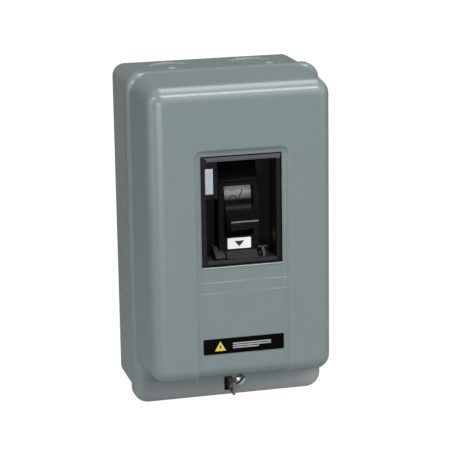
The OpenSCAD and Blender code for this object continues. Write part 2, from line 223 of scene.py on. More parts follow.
def helix(o_to, r, wire, z0, z1, turns, name, mat, body, seg=18, ring=10, close=0.8):
    """Coil spring with closed ends, along the local z of o_to."""
    vs, fs = [], []
    steps = int(turns * seg)
    for i in range(steps + 1):
        t = i / steps
        turn = turns * t
        edge = min(turn, turns - turn)
        # pitch is small near the ends, so that the last coils close
        s = t
        if turns > 4:
            k = close / turns
            s = 0.5 - 0.5 * math.cos(math.pi * min(1, max(0, (t - k) / (1 - 2 * k)))) if False else min(1, max(0, (t - k) / (1 - 2 * k)))
        z = z0 + wire + (z1 - z0 - 2 * wire) * s
        a = 2 * math.pi * turn
        c, sn = math.cos(a), math.sin(a)
        for j in range(ring):
            b = 2 * math.pi * j / ring
            rr = r - wire + wire * math.cos(b)
            vs.append(o_to(rr * c, rr * sn, z + wire * math.sin(b)))
    for i in range(steps):
        for j in range(ring):
            fs.append([i * ring + j, i * ring + (j + 1) % ring, (i + 1) * ring + (j + 1) % ring, (i + 1) * ring + j])
    fs.append(list(range(ring)))
    fs.append([steps * ring + j for j in range(ring)][::-1])
    me = bpy.data.meshes.new(name + "_t")
    me.from_pydata(vs, [], fs)
    bm = bmesh.new()
    bm.from_mesh(me)
    bpy.data.meshes.remove(me)
    bmesh.ops.recalc_face_normals(bm, faces=bm.faces)
    return finish_mesh(bm, name, mat, body, 60)


def join(objs, name):
    """Joins meshes into the first one."""
    bm = bmesh.new()
    mats = []
    for o in objs:
        start = len(bm.faces)
        bm.from_mesh(o.data)
        bm.faces.ensure_lookup_table()
        base = []
        for m in o.data.materials:
            if m not in mats:
                mats.append(m)
            base.append(mats.index(m))
        for f in bm.faces[start:]:
            f.material_index = base[f.material_index] if base else 0
    first = objs[0]
    me = bpy.data.meshes.new(name)
    bm.to_mesh(me)
    bm.free()
    for m in mats:
        me.materials.append(m)
    first.data = me
    first.name = name
    for o in objs[1:]:
        bpy.data.objects.remove(o)
    return first


# ---------------------------------------------------------------- materials
def srgb(r, g, b):
    f = lambda c: c / 12.92 if c <= 0.04045 else ((c + 0.055) / 1.055) ** 2.4
    return (f(r / 255.0), f(g / 255.0), f(b / 255.0), 1.0)


def material(name, rgb, rough=0.5, metal=0.0, vary=0.06, rough_vary=0.08, grain=900.0, bump=0.02, big=40.0, coat=0.0,
             wear=0.0, wear_rgb=(200, 200, 196), spec=0.5, speck=0.0, aniso=None, concave_darkening=0.0, bump_big=0.0, coat_rough=0.2, painted_glow=0.0, rim_wear=0.0):
    """Procedural surface: two sizes of colour mottling, uneven sheen, fine grain, worn edges, darker concave hollows
    and an optional emitted painted light.
    """
    m = bpy.data.materials.new(name)
    m.use_nodes = True
    nt = m.node_tree
    nd, ln = nt.nodes, nt.links
    bsdf = nd["Principled BSDF"]
    tc = nd.new("ShaderNodeTexCoord")
    mp = nd.new("ShaderNodeMapping")
    ln.new(tc.outputs["Object"], mp.inputs["Vector"])
    if aniso:
        mp.inputs["Scale"].default_value = aniso

    def noise(scale, detail, rough_n=0.55, src=mp):
        n = nd.new("ShaderNodeTexNoise")
        n.inputs["Scale"].default_value = scale
        n.inputs["Detail"].default_value = detail
        n.inputs["Roughness"].default_value = rough_n
        ln.new(src.outputs["Vector"], n.inputs["Vector"])
        return n

    def ramp(src, lo, hi, a=0.0, b=1.0):
        r = nd.new("ShaderNodeMapRange")
        r.inputs["From Min"].default_value, r.inputs["From Max"].default_value = lo, hi
        r.inputs["To Min"].default_value, r.inputs["To Max"].default_value = a, b
        ln.new(src, r.inputs["Value"])
        return r.outputs["Result"]

    def mix(fac, a, b, mode="MIX"):
        x = nd.new("ShaderNodeMix")
        x.data_type, x.blend_type = "RGBA", mode
        if isinstance(fac, float):
            x.inputs["Factor"].default_value = fac
        else:
            ln.new(fac, x.inputs["Factor"])
        for s, v in ((6, a), (7, b)):
            if isinstance(v, tuple):
                x.inputs[s].default_value = v
            else:
                ln.new(v, x.inputs[s])
        return x.outputs[2]

    base = srgb(*rgb)
    dark = tuple(c * (1 - vary) for c in base[:3]) + (1.0,)
    light = tuple(min(1.0, c * (1 + vary)) for c in base[:3]) + (1.0,)
    n_big = noise(big, 4)
    n_mid = noise(big * 7, 5, 0.6)
    col = mix(ramp(n_big.outputs["Fac"], 0.35, 0.65), dark, light)
    col = mix(ramp(n_mid.outputs["Fac"], 0.40, 0.70, 0.0, vary * 3.5), col, dark)
    if speck:
        v = nd.new("ShaderNodeTexVoronoi")
        v.inputs["Scale"].default_value = 650.0
        ln.new(mp.outputs["Vector"], v.inputs["Vector"])
        col = mix(ramp(v.outputs["Distance"], 0.02, 0.10, speck, 0.0), col, light)
    geo = nd.new("ShaderNodeNewGeometry")
    # darker where the surface is concave
    if concave_darkening:
        lowp = ramp(geo.outputs["Pointiness"], 0.44, 0.495, concave_darkening, 0.0)
        col = mix(lowp, col, tuple(c * 0.35 for c in base[:3]) + (1.0,))
    if wear:
        hi = ramp(geo.outputs["Pointiness"], 0.53, 0.60)
        mm = nd.new("ShaderNodeMath")
        mm.operation = "MULTIPLY"
        ln.new(hi, mm.inputs[0])
        ln.new(ramp(n_mid.outputs["Fac"], 0.42, 0.62, 0.15 * wear, wear), mm.inputs[1])
        col = mix(mm.outputs[0], col, srgb(*wear_rgb))
    if rim_wear:
        bev = nd.new("ShaderNodeBevel")
        bev.samples = 4
        bev.inputs["Radius"].default_value = 0.0009
        dot = nd.new("ShaderNodeVectorMath")
        dot.operation = "DOT_PRODUCT"
        ln.new(bev.outputs["Normal"], dot.inputs[0])
        ln.new(geo.outputs["Normal"], dot.inputs[1])
        mm = nd.new("ShaderNodeMath")
        mm.operation = "MULTIPLY"
        ln.new(ramp(dot.outputs["Value"], 0.95, 0.80), mm.inputs[0])
        ln.new(ramp(n_mid.outputs["Fac"], 0.45, 0.60, 0.1 * rim_wear, rim_wear), mm.inputs[1])
        col = mix(mm.outputs[0], col, srgb(*wear_rgb))
    ln.new(col, bsdf.inputs["Base Color"])
    ln.new(ramp(n_mid.outputs["Fac"], 0.3, 0.7, max(0.03, rough - rough_vary), min(1.0, rough + rough_vary)), bsdf.inputs["Roughness"])
    bsdf.inputs["Metallic"].default_value = metal
    bsdf.inputs["Specular IOR Level"].default_value = spec
    # emission that brightens the surface: painted light
    if painted_glow:
        ln.new(col, bsdf.inputs["Emission Color"])
        bsdf.inputs["Emission Strength"].default_value = painted_glow
    if coat:
        bsdf.inputs["Coat Weight"].default_value = coat
        bsdf.inputs["Coat Roughness"].default_value = coat_rough
    n_fine = noise(grain, 3, 0.5)
    bp = nd.new("ShaderNodeBump")
    bp.inputs["Strength"].default_value = 1.0
    bp.inputs["Distance"].default_value = bump / 1000.0
    ln.new(n_fine.outputs["Fac"], bp.inputs["Height"])
    last = bp
    if bump_big:
        n_w = noise(55.0, 2, 0.4)
        b2 = nd.new("ShaderNodeBump")
        b2.inputs["Strength"].default_value = 1.0
        b2.inputs["Distance"].default_value = bump_big / 1000.0
        ln.new(n_w.outputs["Fac"], b2.inputs["Height"])
        ln.new(bp.outputs["Normal"], b2.inputs["Normal"])
        last = b2
    ln.new(last.outputs["Normal"], bsdf.inputs["Normal"])
    return m


PAINT = (127, 140, 140)
M = {}
M["case_paint"] = material("case_paint", (128, 140, 139), rough=0.27, spec=0.65, vary=0.007, rough_vary=0.008, grain=900, bump=0.0003, big=22, rim_wear=0.35, wear_rgb=(168, 178, 178), bump_big=0.012)
M["cover_paint"] = material("cover_paint", PAINT, rough=0.26, spec=0.65, vary=0.006, rough_vary=0.008, grain=900, bump=0.0008, big=22, wear=0.03, wear_rgb=(160, 172, 172), concave_darkening=0.15, bump_big=0.012)
M["knockout_painted_highlight"] = material("knockout_painted_highlight", (150, 160, 160), rough=0.30, vary=0.03, rough_vary=0.03, grain=900, bump=0.002, big=60)
M["bead_painted_highlight"] = material("bead_painted_highlight", (176, 188, 188), rough=0.28, spec=0.6, vary=0.03, rough_vary=0.03, grain=900, bump=0.002, big=60)
M["lit_edge"] = material("lit_edge", (150, 150, 148), rough=0.4, vary=0.05, grain=800, bump=0.005, big=90)
M["zinc"] = material("zinc", (176, 176, 170), rough=0.42, metal=0.9, vary=0.10, rough_vary=0.12, grain=500, bump=0.02, big=60, wear=0.3)
M["tab_zinc"] = material("tab_zinc", (122, 124, 122), rough=0.45, metal=0.75, vary=0.12, rough_vary=0.12, grain=500, bump=0.02, big=90, wear=0.4)
M["bright_screw"] = material("bright_screw", (222, 224, 226), rough=0.26, metal=1.0, vary=0.06, rough_vary=0.10, grain=900, bump=0.015, big=150, wear=0.3)
M["screw_steel"] = material("screw_steel", (196, 196, 190), rough=0.33, metal=1.0, vary=0.08, rough_vary=0.12, grain=700, bump=0.02, big=120, wear=0.3)
M["ground_green"] = material("ground_green", (46, 112, 62), rough=0.38, metal=0.55, vary=0.10, grain=600, bump=0.02, big=120, wear=0.5, wear_rgb=(150, 190, 150))
M["base_phenolic"] = material("base_phenolic", (44, 41, 40), rough=0.52, vary=0.16, rough_vary=0.10, grain=420, bump=0.05, big=60, speck=0.10, wear=0.25, wear_rgb=(96, 92, 90))
M["housing_phenolic"] = material("housing_phenolic", (10, 10, 10), rough=0.50, vary=0.18, rough_vary=0.10, grain=420, bump=0.03, big=60, speck=0.05, wear=0.15, wear_rgb=(40, 39, 38), spec=0.13)
M["copper"] = material("copper", (196, 122, 84), rough=0.36, metal=1.0, vary=0.14, rough_vary=0.14, grain=240, bump=0.02, big=70, aniso=(1, 1, 0.25), wear=0.3, wear_rgb=(232, 176, 140), concave_darkening=0.4)
M["contact_metal"] = material("contact_metal", (206, 140, 96), rough=0.33, metal=1.0, vary=0.12, rough_vary=0.12, grain=300, bump=0.02, big=90, wear=0.4, wear_rgb=(226, 222, 214))
M["silver_tip"] = material("silver_tip", (214, 212, 206), rough=0.34, metal=1.0, vary=0.10, grain=700, bump=0.03, big=160, concave_darkening=0.4)
M["clamp_brass"] = material("clamp_brass", (190, 172, 104), rough=0.36, metal=1.0, vary=0.12, rough_vary=0.12, grain=500, bump=0.02, big=110, wear=0.3, wear_rgb=(226, 214, 170))
M["heater_metal"] = material("heater_metal", (158, 152, 144), rough=0.44, metal=0.95, vary=0.14, rough_vary=0.12, grain=500, bump=0.03, big=80, concave_darkening=0.4)
M["trip_red"] = material("trip_red", (146, 42, 34), rough=0.44, vary=0.08, grain=500, bump=0.03, big=60, wear=0.2, wear_rgb=(190, 90, 80))
M["spring_steel"] = material("spring_steel", (182, 184, 188), rough=0.28, metal=1.0, vary=0.08, rough_vary=0.10, grain=800, bump=0.015, big=150)
M["handle_black"] = material("handle_black", (20, 20, 19), rough=0.36, vary=0.20, rough_vary=0.09, grain=700, bump=0.035, big=120, speck=0.05, wear=0.10, wear_rgb=(50, 50, 48), spec=0.09)
M["handle_drum"] = material("handle_drum", (14, 14, 13), rough=0.45, vary=0.10, rough_vary=0.06, grain=700, bump=0.015, big=120, spec=0.04)
M["handle_painted_highlight"] = material("handle_painted_highlight", (92, 93, 92), rough=0.40, vary=0.12, rough_vary=0.06, grain=700, bump=0.01, big=160, spec=0.5)
# the label emits light to lift it out of the lever's shade: painted light
M["label_white"] = material("label_white", (240, 240, 239), rough=0.45, vary=0.02, grain=900, bump=0.008, big=60, painted_glow=0.30)
M["carrier_brown"] = material("carrier_brown", (86, 54, 38), rough=0.50, vary=0.16, grain=420, bump=0.05, big=80, speck=0.10)
M["bezel_black"] = material("bezel_black", (15, 16, 17), rough=0.42, vary=0.14, rough_vary=0.10, grain=800, bump=0.02, big=60, wear=0.20, wear_rgb=(50, 52, 54), spec=0.17)
M["bezel_painted_top_band"] = material("bezel_painted_top_band", (92, 94, 98), rough=0.40, vary=0.08, rough_vary=0.08, grain=800, bump=0.02, big=90, spec=0.3)
M["bezel_painted_highlight"] = material("bezel_painted_highlight", (62, 62, 62), rough=0.45, vary=0.10, grain=800, bump=0.01, big=90, spec=0.3)
M["bezel_sheen"] = material("bezel_sheen", (50, 50, 51), rough=0.40, vary=0.10, rough_vary=0.08, grain=800, bump=0.02, big=90, wear=0.3, wear_rgb=(84, 84, 84), spec=0.35)
M["lens_white"] = material("lens_white", (186, 193, 202), rough=0.24, vary=0.04, grain=500, bump=0.01, big=150, coat=0.3, coat_rough=0.10, concave_darkening=0.5)
M["plate_black"] = material("plate_black", (4, 4, 4), rough=0.5, vary=0.12, grain=900, bump=0.006, big=60, spec=0.05)
M["ink_yellow"] = material("ink_yellow", (222, 210, 84), rough=0.42, vary=0.05, grain=900, bump=0.004, big=120)
M["ink_grey"] = material("ink_grey", (176, 178, 180), rough=0.45, vary=0.05, grain=900, bump=0.004, big=120)
M["dark_ink_and_slot_shade"] = material("dark_ink_and_slot_shade", (46, 46, 48), rough=0.5, vary=0.1, grain=900, bump=0.004, big=120)
M["lamp_glass"] = material("lamp_glass", (240, 200, 150), rough=0.08, vary=0.04, grain=400, bump=0.004, big=80, coat=0.5)
M["lamp_glass"].node_tree.nodes["Principled BSDF"].inputs["Transmission Weight"].default_value = 0.75
M["black_oxide"] = material("black_oxide", (40, 40, 42), rough=0.4, metal=0.7, vary=0.12, grain=600, bump=0.02, big=120, wear=0.4)


# ---------------------------------------------------------------- the pressed cover
CV, BX, BZ = Box("front_cover"), Box("enclosure_box"), Box("bezel")
NP, LB, LN, ST = Box("nameplate"), Box("handle_label"), Box("pilot_lens"), Box("cover_screw")
SHEET = 1.5
SEAM = CV.z0
FRONT = CV.z1
LEDGE = SEAM + 11.0                      # front plane of the ledge
HW, HH = CV.w / 2, CV.h / 2              # lip half sizes
LIP_R, LIP_E = 10.0, 7.0
LCX, LCY = HW - LIP_R, HH - LIP_R
EDGE = 10.0
B_TOP, B_BOT = HH - 3.4, -HH + 24.5      # raised front
B_HW, B_R = HW - 4.7, EDGE + 0.2
BCX, BCY = B_HW - B_R, (B_TOP - B_BOT) / 2 - B_R
BY = (B_TOP + B_BOT) / 2
DRAFT = math.radians(4.6)
PAN_HW, PAN_TOP, PAN_SINK = 29.5, 65.0, 1.4
STEPS = ((-26.9, 0.34, -1.0, 6.5), (-19.9, 0.42, 9.0, 5.0))   # two small steps down towards the bezel: height, depth, softer stretch
STEP_W = 1.0
BEAD, BEAD_AT = 0.58, 0.85               # rolled bead round the bezel
WELDS = ((-21.3, -69.6), (18.2, -69.7))  # spot weld marks under the plate
OPEN = (-24.65, 24.65, -7.85, 60.25)


def smooth(t):
    t = min(1.0, max(0.0, t))
    return t * t * (3 - 2 * t)


def lines(lo, hi, features, fine=0.45, reach=3.2, coarse=3.4):
    """Grid lines from lo to hi: closely spaced round each feature, wide elsewhere, with a line on each feature."""
    out = {round(lo, 4), round(hi, 4)}
    for f in features:
        out.add(round(f, 4))
        k = 1
        while k * fine <= reach:
            for s in (-1, 1):
                v = f + s * k * fine
                if lo < v < hi:
                    out.add(round(v, 4))
            k += 1
    out = sorted(out)
    res = [out[0]]
    for v in out[1:]:
        gap = v - res[-1]
        if gap < fine * 0.45 and not any(abs(v - f) < 1e-3 for f in features) and v != out[-1]:
            continue
        if gap > coarse:
            n = math.ceil(gap / coarse)
            a = res[-1]
            res += [a + gap * i / n for i in range(1, n)]
        res.append(v)
    return res


def panel_mask(x, y, grow=0.0, width=2.4):
    """1 inside the sunk panel, 0 outside, with a soft edge."""
    hw, top, r = PAN_HW + grow, PAN_TOP + grow, 4.5
    qx, qy = abs(x) - (hw - r), y - (top - r)
    d = math.hypot(max(qx, 0), max(qy, 0)) + min(max(qx, qy), 0) - r
    return smooth(0.5 - d / width)


def sink(x, y):
    s = PAN_SINK * panel_mask(x, y)
    inner = panel_mask(x, y, -1.6, 2.0)
    for y0, deep, gap_x, gap_w in STEPS:
        w = STEP_W * (1.0 + 2.2 * math.exp(-((x - gap_x) / gap_w) ** 2))
        s += deep * smooth((y - y0) / w) * inner
    qx = max(abs(x) - BZ.w / 2, 0.0)
    qy = max(y - BZ.y1, BZ.y0 - y, 0.0)
    d = math.hypot(qx, qy)
    low = y < BZ.y0
    tall = BEAD * (1.0 + 0.25 * x / PAN_HW if low else 0.3)
    for wx, wy in WELDS:
        s += 0.10 * math.exp(-((x - wx) ** 2 + (y - wy) ** 2) / 1.1)
    return s - tall * math.exp(-((d - BEAD_AT) / 0.44) ** 2)


def lip_z(x, y):
    rho = math.hypot(max(abs(x) - LCX, 0), max(abs(y) - LCY, 0))
    c = LIP_R - LIP_E
    if rho <= c:
        return LEDGE
    return LEDGE - LIP_E + math.sqrt(max(0.0, LIP_E ** 2 - min(rho - c, LIP_E) ** 2))


def build_cover():
    xs = lines(-BCX, BCX, [-PAN_HW, -BZ.w / 2 - BEAD_AT, WELDS[0][0], OPEN[0], OPEN[1], WELDS[1][0], BZ.w / 2 + BEAD_AT, PAN_HW], fine=0.3)
    ys = lines(-BCY + BY, BCY + BY, [OPEN[2], BZ.y0 - BEAD_AT, OPEN[3], BZ.y1 + BEAD_AT, PAN_TOP, WELDS[0][1]] + [y[0] + STEP_W / 2 for y in STEPS], fine=0.22, reach=2.4)
    nx, ny = len(xs), len(ys)
    V, F = [], []
    for j in range(ny):
        for i in range(nx):
            V.append((xs[i], ys[j], FRONT - sink(xs[i], ys[j])))
    gid = lambda i, j: j * nx + i
    for j in range(ny - 1):
        for i in range(nx - 1):
            mx, my = (xs[i] + xs[i + 1]) / 2, (ys[j] + ys[j + 1]) / 2
            if OPEN[0] < mx < OPEN[1] and OPEN[2] < my < OPEN[3]:
                continue
            F.append([gid(i, j), gid(i + 1, j), gid(i + 1, j + 1), gid(i, j + 1)])
    # outline: base point, direction, grid vertex, matching point on the lip's corner rectangle
    ent = []
    sy, sx = LCY / BCY, LCX / BCX
    NC = 14
    def corner(cx, cy, a0, g):
        for k in range(1, NC):
            a = math.radians(a0 + 90.0 * k / NC)
            ent.append((cx, cy + BY, math.cos(a), math.sin(a), g, (cx * sx, cy * sy)))
    for j in range(ny):
        ent.append((BCX, ys[j], 1, 0, gid(nx - 1, j), (LCX, (ys[j] - BY) * sy)))
    corner(BCX, BCY, 0, gid(nx - 1, ny - 1))
    for i in range(nx - 1, -1, -1):
        ent.append((xs[i], BCY + BY, 0, 1, gid(i, ny - 1), (xs[i] * sx, LCY)))
    corner(-BCX, BCY, 90, gid(0, ny - 1))
    for j in range(ny - 1, -1, -1):
        ent.append((-BCX, ys[j], -1, 0, gid(0, j), (-LCX, (ys[j] - BY) * sy)))
    corner(-BCX, -BCY, 180, gid(0, 0))
    for i in range(nx):
        ent.append((xs[i], -BCY + BY, 0, -1, gid(i, 0), (xs[i] * sx, -LCY)))
    corner(BCX, -BCY, 270, gid(nx - 1, 0))
    n = len(ent)
    rings = [[e[4] for e in ent]]
    c = B_R - EDGE

    def add_ring(fn):
        ids = []
        for e in ent:
            ids.append(len(V))
            V.append(fn(e))
        rings.append(ids)

    def put(e, r, z, nr, nz):
        """Point at radius r and height z, moved inwards along the local normal (nr, nz) where the panel is sunk."""
        x, y = e[0] + r * e[2], e[1] + r * e[3]
        s = 0.0
        if e[3] < -0.2 or nz > 0.999:
            # the panel runs round the lower bend; its sides are judged by x only there
            s = PAN_SINK * panel_mask(x, min(y, 0.0)) if e[3] < -0.2 else 0.0
        x -= e[2] * nr * s
        y -= e[3] * nr * s
        return (x, y, z - nz * s)

    if c > 1.0:
        add_ring(lambda e: put(e, c * 0.5, FRONT, 0, 1))
    add_ring(lambda e: put(e, c, FRONT, 0, 1))
    NA = 14
    a1 = DRAFT
    for k in range(1, NA + 1):
        a = math.pi / 2 - (math.pi / 2 - a1) * k / NA
        add_ring(lambda e, a=a: put(e, c + EDGE * math.cos(a), FRONT - EDGE + EDGE * math.sin(a), math.cos(a), math.sin(a)))
    za = FRONT - EDGE + EDGE * math.sin(a1)
    wall_r = lambda z: c + EDGE * math.cos(a1) + (za - z) * math.tan(a1)

    def foot(e):
        """Fillet radius at the foot of the wall, and the height where it starts."""
        f = 0.9 - 0.2 * smooth((-e[3] - 0.2) / 0.6) - 0.55 * smooth((e[3] - 0.1) / 0.7)
        z = LEDGE
        for _ in range(6):
            r = wall_r(z)
            z = lip_z(e[0] + r * e[2], e[1] + r * e[3]) + f
        return f, z

    for k in range(1, 9):
        u = k / 8.0
        def wall(e, u=u):
            f, zb = foot(e)
            z = za + (zb - za) * u
            return put(e, wall_r(z), z, math.cos(a1), math.sin(a1))
        add_ring(wall)
    NF = 6
    def blend_pt(e, k):
        f, zb = foot(e)
        th = math.pi / 2 * k / NF
        x, y, _ = put(e, wall_r(zb) + f * (1 - math.cos(th)), zb, math.cos(a1), 0)
        return x, y, f * (1 - math.sin(th))
    for k in range(1, NF + 1):
        def fil(e, k=k):
            x, y, h = blend_pt(e, k)
            return (x, y, lip_z(x, y) + h)
        add_ring(fil)
    NL = 14
    for k in range(1, NL + 1):
        g = math.sin(math.pi / 2 * k / NL)
        def lip(e, g=g, k=k):
            bx, by, _ = blend_pt(e, NF)
            lx, ly = e[5][0] + LIP_R * e[2], e[5][1] + LIP_R * e[3]
            x, y = bx + (lx - bx) * g, by + (ly - by) * g
            z = LEDGE - LIP_E if k == NL else lip_z(x, y)
            return (x, y, z)
        add_ring(lip)
    for z in (LEDGE - LIP_E - 1.1, SEAM):
        add_ring(lambda e, z=z: (e[5][0] + LIP_R * e[2], e[5][1] + LIP_R * e[3], z))
    for a, b in zip(rings, rings[1:]):
        for k in range(n):
            q = [a[k], b[k], b[(k + 1) % n], a[(k + 1) % n]]
            q = [v for i, v in enumerate(q) if v not in q[:i]]
            if len(q) > 2:
                F.append(q)
    o = from_lists([P(*v) for v in V], F, "cover_shell", M["cover_paint"], BODY["front_cover"], 50)
    so = o.modifiers.new("sheet", "SOLIDIFY")
    so.thickness, so.offset, so.use_even_offset, so.use_quality_normals = SHEET / 1000.0, -1.0, True, True
    evaluated(o, 50)
    # padlock slot and cover screw hole through the ledge
    zc = (LEDGE - 5, LEDGE + 3)
    PT = Box("padlock_bracket")
    slot_cut = extrude_loop(round_rect(-3.6, 1.6, -104.6, -95.0, 0.6), zc[0], zc[1], P)
    hole = extrude_loop([(ST.cx + 2.7 * math.cos(t * math.pi / 16), ST.cy + 2.7 * math.sin(t * math.pi / 16)) for t in range(32)], zc[0], zc[1], P)
    cut(o, [slot_cut, hole], 50)
    return own(o, "front_cover")


cover = build_cover()

# ---------------------------------------------------------------- rear box and what is fixed to it
def zone(o, mat, test):
    """Gives another material to the faces whose centre and normal pass the test, both in the face frame."""
    o.data.materials.append(mat)
    k = len(o.data.materials) - 1
    for p in o.data.polygons:
        c, n = p.center, p.normal
        if test(c.x * 1000, c.z * 1000, -c.y * 1000, n.x, n.z, -n.y):
            p.material_index = k
    return o


def tint(mat, rgb, factor):
    """Mixes a colour into a material; factor(nodes, links, texture_coordinates) gives the amount."""
    nt = mat.node_tree
    bsdf = nt.nodes["Principled BSDF"]
    src = bsdf.inputs["Base Color"].links[0].from_socket
    tc = nt.nodes.new("ShaderNodeTexCoord")
    x = nt.nodes.new("ShaderNodeMix")
    x.data_type = "RGBA"
    nt.links.new(factor(nt, tc.outputs["Object"]), x.inputs["Factor"])
    nt.links.new(src, x.inputs[6])
    x.inputs[7].default_value = srgb(*rgb)
    nt.links.new(x.outputs[2], bsdf.inputs["Base Color"])


def spot(at, r0, r1):
    """1 within r0 of a point of the face frame, 0 beyond r1, in millimetres."""
    def f(nt, co):
        d = nt.nodes.new("ShaderNodeVectorMath")
        d.operation = "DISTANCE"
        nt.links.new(co, d.inputs[0])
        d.inputs[1].default_value = P(*at)
        m = nt.nodes.new("ShaderNodeMapRange")
        m.interpolation_type = "SMOOTHSTEP"
        m.inputs["From Min"].default_value, m.inputs["From Max"].default_value = r0 / 1000, r1 / 1000
        m.inputs["To Min"].default_value, m.inputs["To Max"].default_value = 1, 0
        nt.links.new(d.outputs["Value"], m.inputs["Value"])
        return m.outputs["Result"]
    return f


def frame_edge(x0, x1, y0, y1, inside):
    """1 at the border of a rectangle of the face frame, 0 further inside."""
    def f(nt, co):
        sep = nt.nodes.new("ShaderNodeSeparateXYZ")
        nt.links.new(co, sep.inputs[0])
        last = None
        for axis, v, sign in (("X", x0, 1), ("X", x1, -1), ("Z", y0, 1), ("Z", y1, -1)):
            m = nt.nodes.new("ShaderNodeMapRange")
            m.interpolation_type = "SMOOTHSTEP"
            m.inputs["From Min"].default_value = (v + sign * inside * 0.7) / 1000
            m.inputs["From Max"].default_value = (v + sign * inside) / 1000
            m.inputs["To Min"].default_value, m.inputs["To Max"].default_value = 1, 0
            nt.links.new(sep.outputs[axis], m.inputs["Value"])
            if last is None:
                last = m.outputs["Result"]
            else:
                x = nt.nodes.new("ShaderNodeMath")
                x.operation = "MAXIMUM"
                nt.links.new(last, x.inputs[0])
                nt.links.new(m.outputs["Result"], x.inputs[1])
                last = x.outputs[0]
        return last
    return f


def painted_sheen_upward(y0, y1):
    """0 below y0, 1 above y1, in millimetres of the face frame, broken up by streaks."""
    def f(nt, co):
        sep = nt.nodes.new("ShaderNodeSeparateXYZ")
        nt.links.new(co, sep.inputs[0])
        m = nt.nodes.new("ShaderNodeMapRange")
        m.inputs["From Min"].default_value, m.inputs["From Max"].default_value = y0 / 1000, y1 / 1000
        nt.links.new(sep.outputs["Z"], m.inputs["Value"])
        n = nt.nodes.new("ShaderNodeTexNoise")
        n.inputs["Scale"].default_value = 260.0
        n.inputs["Detail"].default_value = 5
        nt.links.new(co, n.inputs["Vector"])
        k = nt.nodes.new("ShaderNodeMapRange")
        k.inputs["From Min"].default_value, k.inputs["From Max"].default_value = 0.3, 0.7
        k.inputs["To Min"].default_value, k.inputs["To Max"].default_value = 0.7, 1.0
        nt.links.new(n.outputs["Fac"], k.inputs["Value"])
        x = nt.nodes.new("ShaderNodeMath")
        x.operation = "MULTIPLY"
        nt.links.new(m.outputs["Result"], x.inputs[0])
        nt.links.new(k.outputs["Result"], x.inputs[1])
        return x.outputs[0]
    return f


refine("enclosure_box", M["case_paint"], bevel=0.12, seg=2, limit=60, sharp=35)
refine("padlock_bracket", M["tab_zinc"], bevel=0.2)
refine("mounting_rails", M["zinc"], bevel=0.25)
refine("ground_screw", M["ground_green"], bevel=0.15)
refine("starter_base", M["base_phenolic"], bevel=0.3)
housing = refine("starter_housing", M["housing_phenolic"], bevel=0.3)
refine("starter_screws", M["screw_steel"], bevel=0.2)
refine("housing_screws", M["screw_steel"], bevel=0.15)
refine("line_terminals", M["copper"], bevel=0.15)
refine("load_links", M["copper"], bevel=0.15)
refine("load_terminals", M["copper"], bevel=0.15)
refine("line_clamps", M["clamp_brass"], bevel=0.2)
refine("load_clamps", M["clamp_brass"], bevel=0.2)
refine("line_terminal_screws", M["screw_steel"], bevel=0.2)
refine("load_terminal_screws", M["screw_steel"], bevel=0.2)
refine("heater_units", M["heater_metal"], bevel=0.2)
refine("heater_screws", M["screw_steel"], bevel=0.15)
refine("trip_bar", M["trip_red"], bevel=0.2)
refine("handle_shaft", M["screw_steel"], bevel=0.2)
refine("contact_carrier", M["carrier_brown"], bevel=0.3)
refine("moving_contacts", M["contact_metal"], bevel=0.15)
refine("bezel_clips", M["spring_steel"], bevel=0.12)
refine("pilot_lamp", M["lamp_glass"], bevel=0.4)
refine("pilot_housing", M["housing_phenolic"], bevel=0.25)
refine("screw_retainer", M["spring_steel"], bevel=0.12)
bezel = refine("bezel", M["bezel_black"], bevel=0.35, seg=3)
# the top band of the bezel rim gets a grey: painted sheen
zone(bezel, M["bezel_painted_top_band"], lambda x, y, z, nx, ny, nz: y > BZ.y1 - 4.2 and abs(x) < BZ.x1 - 1.0 and z > BZ.z1 - 1.3 and nz > 0.3 and y < BZ.y1 - 0.35)
# up-facing ramp and wedge faces get a lighter grey: painted sheen
zone(bezel, M["bezel_sheen"], lambda x, y, z, nx, ny, nz: -7.4 < y < 3.4 and -22.4 < x < 11.6 and z < BZ.z1 - 0.9 and ny > 0.12)
# the sloping face of the left wedge and the top of the T block get a grey: painted highlight
zone(bezel, M["bezel_painted_highlight"], lambda x, y, z, nx, ny, nz: -4.5 < y < 2.2 and -16.5 < x < -10.2 and ny > 0.15 and nz > 0.1)
zone(bezel, M["bezel_painted_highlight"], lambda x, y, z, nx, ny, nz: -4.5 < y < 1.2 and 11.6 < x < 18.4 and z > 91.0 and nz > 0.3 and (y > -0.9 or 14.0 < x < 16.0))
tint(M["bezel_black"], (76, 60, 56), spot((23.4, 6.8, 92.0), 1.5, 6.0))
# the lower edge of the housing window gets a light grey: painted highlight
zone(housing, M["lit_edge"], lambda x, y, z, nx, ny, nz: 6.9 < y < 7.8 and abs(x) < 9.7 and z > 90.3 and ny > 0.15 and nz > 0.15)
# the upward flank of the bead below the bezel gets a lighter paint: painted highlight
zone(cover, M["bead_painted_highlight"], lambda x, y, z, nx, ny, nz: abs(x) < BZ.x1 + 0.2 and BZ.y0 - BEAD_AT - 0.1 < y < BZ.y0 and z > 95 and ny > 0.30)
# the outer border of the bezel is darkened and its specular taken away: painted shade of the gap round the bezel
f_edge = frame_edge(BZ.x0, BZ.x1, BZ.y0, BZ.y1, 0.75)
for name in ("bezel_black", "bezel_painted_top_band"):
    tint(M[name], (3, 3, 4), f_edge)
    nt = M[name].node_tree
    tc = nt.nodes.new("ShaderNodeTexCoord")
    k = nt.nodes.new("ShaderNodeMapRange")
    k.inputs["To Min"].default_value, k.inputs["To Max"].default_value = nt.nodes["Principled BSDF"].inputs["Specular IOR Level"].default_value, 0.0
    nt.links.new(f_edge(nt, tc.outputs["Object"]), k.inputs["Value"])
    nt.links.new(k.outputs["Result"], nt.nodes["Principled BSDF"].inputs["Specular IOR Level"])
refine("pilot_lens", M["lens_white"], bevel=0.5, seg=3)


